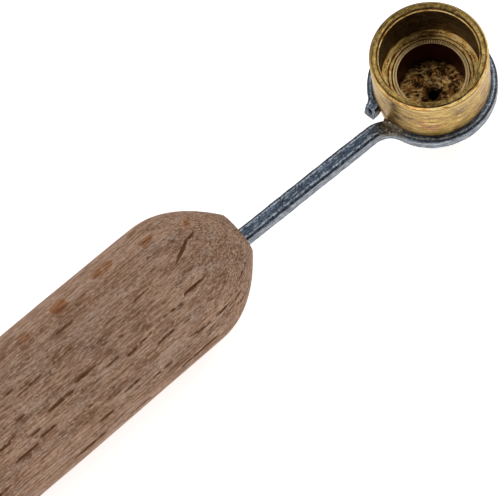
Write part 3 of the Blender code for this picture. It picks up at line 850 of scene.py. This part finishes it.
# ---------------------------------------------------------------- the pot and what is in it
def make_pot():
    """The turned pot: stepped rim edges, tool marks outside, a bore darkened with tarnish and painted shade, and a
    painted highlight on the shoulder.
    """
    skirt = RING_SHRINK * WIRE_HEIGHT / 2 + 0.04 * MM
    neck = RING_RADIUS - RING_SHRINK * WIRE_WIDTH / 2 - 0.02 * MM
    lip = 7.2 * MM
    foot = 6.0 * MM
    opening = 3.1 * MM
    seat = FLOOR - 1.2 * MM
    ledge = 6.36 * MM
    inner = 6.60 * MM
    groove = 7.12 * MM
    corners = [
        ((POT_BORE, RIM - 0.55 * MM), 0.02), ((ledge, RIM - 0.40 * MM), 0.02),
        ((ledge + 0.13 * MM, RIM - 0.36 * MM), 0.0), ((inner, RIM), 0.03),
        ((groove, RIM), 0.0), ((groove + 0.03 * MM, RIM - 0.09 * MM), 0.0),
        ((groove + 0.19 * MM, RIM - 0.10 * MM), 0.0), ((groove + 0.22 * MM, RIM - 0.04 * MM), 0.02),
        ((POT_RADIUS, RIM - 0.30 * MM), 0.05), ((POT_RADIUS, RIM - 0.42 * MM), 0.0),
        ((POT_RADIUS - 0.07 * MM, RIM - 0.47 * MM), 0.0), ((POT_RADIUS - 0.07 * MM, RIM - 0.72 * MM), 0.0),
        ((POT_RADIUS, RIM - 0.78 * MM), 0.0), ((POT_RADIUS, skirt), 0.10),
        ((neck, skirt), 0.05), ((neck, -skirt), 0.05), ((lip, -skirt), 0.12),
        ((lip, -skirt - 1.4 * MM), 0.15), ((foot, POT_FOOT), 0.15), ((opening, POT_FOOT), 0.1),
        ((opening, seat), 0.05), ((SOCKET, seat), 0.05), ((SOCKET, SHOULDER), 0.06),
        ((5.40 * MM, SHOULDER), 0.0), ((5.43 * MM, SHOULDER - 0.07 * MM), 0.0), ((5.52 * MM, SHOULDER - 0.07 * MM), 0.0),
        ((5.56 * MM, SHOULDER), 0.0), ((POT_BORE, SHOULDER), 0.10),
    ]
    outline = eased([corner for corner, _ in corners], [radius * MM for _, radius in corners])

    def worked(radius, height, theta):
        points = np.stack([radius * np.cos(theta), radius * np.sin(theta), height], axis=-1)
        rough = noise_at(points * np.array([1.0, 1.0, 2.5]), 0.8, 3)
        wall = (radius > POT_RADIUS - 0.02 * MM) & (height < RIM - 0.3 * MM) & (height > skirt)
        marks = 0.012 * MM * np.sin(height / (0.17 * MM) + 1.5 * rough) + 0.022 * MM * rough
        bore = (radius < POT_BORE + 0.01 * MM) & (height < RIM - 0.4 * MM) & (height > SHOULDER + 0.2 * MM)
        low = np.clip(1.4 - (height - SHOULDER) / (1.6 * MM), 0.15, 1.0)
        rings = 0.030 * MM * np.sin(height / (0.075 * MM)) * low + 0.01 * MM * rough
        new_radius = radius + np.where(wall, marks, 0.0) - np.where(bore, rings - 0.02 * MM, 0.0)
        # Tarnish and painted shade darken the bore and the socket.
        deep = (radius < POT_BORE + 0.02 * MM) & (height < RIM - 0.44 * MM) & (height > SHOULDER + 0.10 * MM)
        soot_and_shade = np.where(deep, 0.97 + 0.25 * np.minimum(rings / (0.03 * MM), 0.0) * low, 0.0)
        soot_and_shade = np.where((radius < SOCKET + 0.05 * MM), 1.0, soot_and_shade)
        top = height > RIM - 0.12 * MM
        front = 0.5 + 0.5 * np.cos(theta - math.radians(-105.0))
        # Painted shade in the riser of the inner step, in the rim's groove and under its outer edge, stronger at the
        # front.
        riser = (radius > ledge + 0.10 * MM) & (radius < inner - 0.01 * MM) & (height > RIM - 0.38 * MM)
        line = (np.abs(radius - groove - 0.11 * MM) < 0.10 * MM) & top
        under = (radius > 7.3 * MM) & (np.abs(height - RIM + 0.60 * MM) < 0.14 * MM)
        soot_and_shade = np.where(riser, 0.9, soot_and_shade)
        soot_and_shade = np.where(line, 0.35 + 0.6 * front, np.where(under, 0.35 + 0.5 * front, soot_and_shade))
        # Along the wall's foot, where it meets the wire, painted shade mixes with burnt flux beside the solder; the
        # nook is painted shade between the stub and the throat; the grime is a stain on the wall.
        low_edge = (radius > neck) & (np.abs(height - skirt) < 0.55 * MM)
        flux = np.exp(-(((np.degrees(theta) % 360.0 - 205.0) / 28.0) ** 2))
        burr = np.clip(0.65 + 0.8 * flux + 1.5 * rough, 0.0, 1.0) * (1.1 - np.abs(height - skirt) / (0.55 * MM))
        soot_and_shade = np.where(low_edge, np.clip(burr, 0.0, 1.0), soot_and_shade)
        turned = np.degrees(theta) % 360.0
        nook = np.exp(-(((turned - 172.0) / 13.0) ** 2)) * np.clip(1.9 - (height - skirt) / (0.8 * MM), 0.0, 1.0)
        soot_and_shade = np.where(wall | low_edge, np.maximum(soot_and_shade, nook), soot_and_shade)
        grime = np.exp(-(((turned - 192.0) / 17.0) ** 2)) * np.clip(0.45 + 1.3 * rough, 0.0, 0.85)
        soot_and_shade = np.where(wall, np.maximum(soot_and_shade, grime), soot_and_shade)
        # Painted highlight: the shoulder is painted bright in two wings, left and right of a patch of painted shade,
        # over mottled tarnish.
        shelf = (height < SHOULDER + 0.1 * MM) & (height > SHOULDER - 0.1 * MM) & (radius > SOCKET) & (radius < POT_BORE + 0.1 * MM)
        trench = shelf & (np.abs(radius - 5.475 * MM) < 0.07 * MM)
        patch = np.exp(-(((theta - math.radians(60.0)) / math.radians(20.0)) ** 2))
        left = np.exp(-(((turned - 152.0) / 30.0) ** 2))
        right = np.exp(-((((turned + 180.0) % 360.0 - 180.0 + 2.0) / 38.0) ** 2))
        wings = np.clip(1.5 * np.maximum(left, right) + 1.1 * rough, 0.0, 1.0)
        soot_and_shade = np.where(shelf, np.clip(0.42 * patch + 0.25 * rough, 0.0, 1.0), soot_and_shade)
        # Painted shade in the trench beside the sleeve.
        soot_and_shade = np.where(trench, 0.85, soot_and_shade)
        painted_highlight = np.where(shelf & ~trench, wings, 0.0)
        # Painted highlight on the outer chamfer at the front with painted shade behind it, and painted highlight on the
        # inner lip towards the back.
        edge = (radius > groove + 0.22 * MM) & (height > RIM - 0.40 * MM) & (height < RIM - 0.03 * MM)
        lip_edge = (radius < ledge + 0.14 * MM) & (height > RIM - 0.43 * MM) & (height < RIM - 0.34 * MM)
        painted_highlight = np.where(edge, 0.85 * np.clip(1.7 * front - 0.5, 0.0, 1.0), painted_highlight)
        soot_and_shade = np.where(edge, np.clip(1.25 - 2.2 * front, 0.0, 0.85), soot_and_shade)
        painted_highlight = np.where(lip_edge, 0.95 - 0.8 * front, painted_highlight)
        # Painted shade on the bore's left and right sides.
        side = np.where(deep, 0.5 - 0.5 * np.cos(2.0 * (theta - math.radians(62.0))), 0.0)
        # Painted shade along the rim's inner edge.
        soot_and_shade = np.where(top & (radius > inner - 0.02 * MM) & (radius < inner + 0.05 * MM), 0.75, soot_and_shade)
        rim = np.where(top & (radius > inner - 0.02 * MM) & (radius < groove + 0.02 * MM), 1.0, 0.0)
        band = np.where(radius > 7.3 * MM, np.clip(1.25 - (RIM - 0.6 * MM - height) / (1.5 * MM), 0.0, 1.0), 0.0)
        around = ((theta - math.pi / 2) % math.tau) * POT_RADIUS / MM
        crests = 0.5 + 0.5 * np.cos((radius - 5.68 * MM) / (0.27 * MM) * math.tau)
        new_height = height - np.where(shelf & (radius > 5.58 * MM) & (radius < 6.22 * MM), 0.035 * MM * crests, 0.0)
        return new_radius, new_height, {"soot_and_shade": np.clip(soot_and_shade, 0.0, 1.0), "painted_highlight": painted_highlight, "rim": rim, "band": band, "side": side, "around": around}

    mesh = lathe("turned_pot", outline, POT_CENTRE, 360, 0.06 * MM, worked)
    return show("turned_pot", mesh, brass_material(), "pot_body")


TICKS = 96


def make_sleeve():
    """The thin sleeve, with a row of fine radial ticks rolled into its top edge."""
    bottom = FLOOR + 0.02 * MM
    corners = [
        ((SLEEVE_BORE, SHOULDER - 0.02 * MM), 0.05), ((SLEEVE_RADIUS, SHOULDER - 0.02 * MM), 0.05),
        ((SLEEVE_RADIUS, bottom), 0.02), ((SLEEVE_BORE, bottom), 0.02),
    ]
    outline = eased([corner for corner, _ in corners], [radius * MM for _, radius in corners])

    def ticked(radius, height, theta):
        top = height > SHOULDER - 0.08 * MM
        # The ticks are plainest on one side, where the rest are rubbed away.
        plain = 0.15 + 0.85 * np.exp(-(((np.degrees(theta) - 55.0) / 40.0) ** 2))
        tick = np.clip(3.0 * np.clip(np.cos(theta * TICKS) - 0.45, 0.0, 1.0), 0.0, 1.0) * plain
        middle = (SLEEVE_RADIUS + SLEEVE_BORE) / 2
        rims = np.clip(np.abs(radius - middle) / (0.2 * MM) - 0.4, 0.0, 1.0)
        slot = np.exp(-(((radius - middle - 0.02 * MM) / (0.06 * MM)) ** 2)) * (1.0 - plain)
        new_height = height - np.where(top, 0.04 * MM * np.maximum(tick, slot), 0.0)
        mark_weight = np.maximum(np.clip(1.1 * tick, 0.0, 1.0), 0.8 * slot)
        soot_and_shade = np.where(height < SHOULDER - 0.15 * MM, 1.0, np.where(top, mark_weight, 0.6))
        # Painted highlight along the rims of the top edge, strongest away from the plain side.
        bright = np.where(top, (0.65 - 0.45 * plain) * rims * (1.0 - tick), 0.0)
        return radius, new_height, {"soot_and_shade": np.clip(soot_and_shade, 0.0, 1.0), "bright": bright}

    mesh = lathe("ticked_sleeve", outline, POT_CENTRE, TICKS * 8, 0.08 * MM, ticked)
    return show("ticked_sleeve", mesh, sleeve_material(), "inner_sleeve")


def make_nozzle():
    """The drilled floor with its rough cut marks, and the spout below."""
    flange = SLEEVE_RADIUS - 0.02 * MM
    spigot = 2.9 * MM
    boss = 4.15 * MM
    dish = 0.95 * MM
    corners = [
        ((OUTLET, FLOOR - 1.3 * dish), 0.05), ((1.1 * MM, FLOOR - 0.9 * dish), 0.2), ((boss - 0.40 * MM, FLOOR - 0.06 * MM), 0.1),
        ((boss, FLOOR), 0.05), ((boss + 0.02 * MM, FLOOR - 0.15 * MM), 0.02), ((flange, FLOOR - 0.2 * MM), 0.02),
        ((flange, FLOOR - 1.15 * MM), 0.02), ((spigot, FLOOR - 1.15 * MM), 0.05), ((spigot, -5.7 * MM), 0.2),
        ((1.25 * MM, -6.5 * MM), 0.3), ((0.95 * MM, TABLE), 0.1), ((OUTLET, TABLE), 0.05),
    ]
    outline = eased([corner for corner, _ in corners], [radius * MM for _, radius in corners])

    def rough_cut(radius, height, theta):
        points = np.stack([radius * np.cos(theta), radius * np.sin(theta), height], axis=-1)
        lumps = noise_at(points, 0.5, 4)
        fine = noise_at(points + 3.0 * MM, 1.5, 3)
        chatter = np.cos(radius / (0.085 * MM) + 1.5 * lumps)
        floor = (height > FLOOR - 1.2 * dish) & (radius > OUTLET + 0.02 * MM) & (radius < boss - 0.1 * MM)
        cut = 0.06 * MM * lumps + 0.03 * MM * fine + 0.012 * MM * chatter
        # Rubbed crests: arcs round one side of the outlet and a few spots; the disc's rim gets a painted highlight,
        # strongest towards 150 degrees.
        turned = np.degrees(theta)
        arcs = np.exp(-(((turned - 5.0) / 50.0) ** 2)) * np.exp(-(((radius - 1.6 * MM) / (0.7 * MM)) ** 2))
        spots = np.clip(2.2 * fine + 0.9 * lumps - 0.45, 0.0, 1.0)
        crest_and_highlight = np.clip(1.5 * arcs * (0.35 + 0.9 * chatter + 1.2 * fine), 0.0, 1.0)
        crest_and_highlight = np.maximum(crest_and_highlight, 0.8 * spots)
        ridge = np.exp(-(((radius - boss) / (0.09 * MM)) ** 2)) * (height > FLOOR - 0.2 * MM)
        mark_weight = np.clip(0.60 + 0.40 * np.cos(theta - math.radians(150.0)), 0.0, 1.0)
        crest_and_highlight = np.maximum(np.where(floor, crest_and_highlight, 0.0), ridge * mark_weight)
        # Soot and painted shade blacken the inside of the outlet.
        soot_and_shade = np.clip(1.7 - radius / (0.85 * MM), 0.0, 1.0) * (height < FLOOR - 0.15 * MM) * (height > TABLE + 1.0 * MM)
        return radius, height + np.where(floor, cut, 0.0), {"crest_and_highlight": crest_and_highlight, "soot_and_shade": np.clip(soot_and_shade, 0.0, 1.0)}

    mesh = lathe("drilled_nozzle", outline, POT_CENTRE, 260, 0.09 * MM, rough_cut)
    return show("drilled_nozzle", mesh, nozzle_material(), "nozzle")


def make_solder():
    """A thin smear of solder on the wire's throat, drawn up a little against the pot's wall."""
    rows, columns = 60, 48
    top = RING_SHRINK * WIRE_HEIGHT / 2
    along = np.linspace(0.0, 1.0, rows)[:, None] * np.ones((1, columns))
    turn = np.arange(columns)[None, :] * (math.tau / columns) * np.ones((rows, 1))
    angle = math.radians(177.0) + along * math.radians(25.0)
    swell = np.sin(math.pi * np.clip(along, 0.001, 0.999)) ** 0.5
    plain = np.stack([along * 3.5 * MM, np.cos(turn) * 0.8 * MM, np.sin(turn) * 0.8 * MM], axis=-1)
    ragged = noise_at(plain, 1.1, 3)
    middle = POT_RADIUS + 0.28 * MM + 0.10 * MM * np.sin(7.0 * along)
    radius = middle + swell * (0.50 + 0.30 * ragged) * MM * np.cos(turn)
    lift = np.clip(1.0 - (radius - POT_RADIUS + 0.1 * MM) / (0.5 * MM), 0.0, 1.0)
    height = top + 0.01 * MM + swell * np.clip(np.sin(turn), -0.1, 1.0) * (0.05 + 0.28 * lift**2) * MM
    points = np.stack([radius * np.cos(angle), radius * np.sin(angle), height], axis=-1)
    lumps = noise_at(points, 1.6, 3)
    points[..., 2] += np.where(height > top + 0.02 * MM, 0.04 * MM * lumps, 0.0)
    ends = [points[0].mean(axis=0) * np.ones((columns, 1)), points[-1].mean(axis=0) * np.ones((columns, 1))]
    points = np.concatenate([ends[0][None], points, ends[1][None]])
    mesh = grid_mesh("solder_smear", points + POT_CENTRE)
    weld(mesh)
    return show("solder_smear", mesh, solder_material(), "solder_fillet")


# ---------------------------------------------------------------- stage, light and camera
# The floor shines a little by itself, like a light table, so that shadows on it are faint.
FLOOR_GLOW = 0.66


def make_floor():
    s = Shader("pale_floor")
    grain = s.noise(s.position(), 0.05, 2.0)
    s.surface.inputs["Emission Color"].default_value = grey(1.0)
    s.surface.inputs["Emission Strength"].default_value = FLOOR_GLOW
    material = s.finish(base_color=s.ramp(grain, (0.0, 0.86), (1.0, 0.90)), roughness=0.8, specular=0.2)
    mesh = bpy.data.meshes.new("floor")
    half = 3.0
    mesh.from_pydata([(-half, -half, 0), (half, -half, 0), (half, half, 0), (-half, half, 0)], [], [(0, 1, 2, 3)])
    floor = bpy.data.objects.new("floor", mesh)
    floor.location.z = -0.02 * MM
    mesh.materials.append(material)
    bpy.context.scene.collection.objects.link(floor)


def area_light(name, size, power, azimuth, elevation, distance, aim, colour=(1.0, 1.0, 1.0)):
    data = bpy.data.lights.new(name, "AREA")
    data.shape = "RECTANGLE"
    data.size, data.size_y = size
    data.energy = power
    data.color = colour
    light = bpy.data.objects.new(name, data)
    a, e = math.radians(azimuth), math.radians(elevation)
    away = Vector((math.sin(a) * math.cos(e), -math.cos(a) * math.cos(e), math.sin(e)))
    light.location = Vector(aim) + away * distance
    light.rotation_euler = away.to_track_quat("Z", "Y").to_euler()
    bpy.context.scene.collection.objects.link(light)


def make_world():
    """A soft white surround: bright at the horizon, dim and a little blue overhead, with the dark
    patch that a camera and its stand leave in anything shiny."""
    world = bpy.data.worlds.new("surround")
    world.use_nodes = True
    tree = world.node_tree
    background = tree.nodes["Background"]
    where = tree.nodes.new("ShaderNodeTexCoord")
    parts = tree.nodes.new("ShaderNodeSeparateXYZ")
    ramp = tree.nodes.new("ShaderNodeValToRGB")
    tree.links.new(where.outputs["Generated"], parts.inputs[0])
    tree.links.new(parts.outputs["Z"], ramp.inputs["Fac"])
    ramp.color_ramp.elements[0].position = 0.12
    ramp.color_ramp.elements[0].color = grey(1.0)
    ramp.color_ramp.elements[1].position = 0.80
    ramp.color_ramp.elements[1].color = (0.155, 0.155, 0.157, 1.0)
    facing = tree.nodes.new("ShaderNodeVectorMath")
    facing.operation = "DOT_PRODUCT"
    tree.links.new(where.outputs["Generated"], facing.inputs[0])
    facing.inputs[1].default_value = view_direction()
    stand = tree.nodes.new("ShaderNodeMapRange")
    tree.links.new(facing.outputs["Value"], stand.inputs["Value"])
    stand.inputs["From Min"].default_value = math.cos(math.radians(30.0))
    stand.inputs["From Max"].default_value = math.cos(math.radians(16.0))
    stand.inputs["To Min"].default_value = 1.0
    stand.inputs["To Max"].default_value = 0.15
    shade = tree.nodes.new("ShaderNodeVectorMath")
    shade.operation = "SCALE"
    tree.links.new(ramp.outputs["Color"], shade.inputs[0])
    tree.links.new(stand.outputs["Result"], shade.inputs["Scale"])
    tree.links.new(shade.outputs[0], background.inputs["Color"])
    background.inputs["Strength"].default_value = 1.0
    bpy.context.scene.world = world


def view_direction():
    """From the object towards the camera."""
    a, e = math.radians(VIEW_AZIMUTH), math.radians(VIEW_ELEVATION)
    return Vector((math.sin(a) * math.cos(e), -math.cos(a) * math.cos(e), math.sin(e)))


AIM_FROM_NOSE = (1.37 * MM, 0.71 * MM, -9.0 * MM)
VIEW_AZIMUTH = -23.09
VIEW_ELEVATION = 67.88
VIEW_ROLL = -18.53
VIEW_DISTANCE = 0.3201
LENS = 175.9
SENSOR = 36.0


def make_camera():
    data = bpy.data.cameras.new("camera")
    data.sensor_width = SENSOR
    data.lens = LENS
    data.clip_start = 0.01
    camera = bpy.data.objects.new("camera", data)
    roll = math.radians(VIEW_ROLL)
    away = view_direction()
    right = Vector((math.cos(math.radians(VIEW_AZIMUTH)), math.sin(math.radians(VIEW_AZIMUTH)), 0.0))
    up = away.cross(right)
    tilted_right = right * math.cos(roll) + up * math.sin(roll)
    tilted_up = up * math.cos(roll) - right * math.sin(roll)
    aim = Vector(NOSE) + Vector(AIM_FROM_NOSE)
    turn = Matrix((tilted_right, tilted_up, away)).transposed()
    camera.matrix_world = Matrix.Translation(aim + away * VIEW_DISTANCE) @ turn.to_4x4()
    bpy.context.scene.collection.objects.link(camera)
    bpy.context.scene.camera = camera


make_camera()
make_world()
make_floor()
area_light("key", (0.5, 0.5), 1.65, 224.0, 60.0, 0.9, POT_CENTRE)
area_light("left", (0.45, 0.45), 0.9, 290.0, 35.0, 0.8, POT_CENTRE)
area_light("right", (0.45, 0.45), 1.45, 94.0, 62.0, 0.8, POT_CENTRE)
bpy.context.scene.view_settings.view_transform = "Standard"

make_handle()
make_wire()
make_pot()
make_sleeve()
make_nozzle()
make_solder()
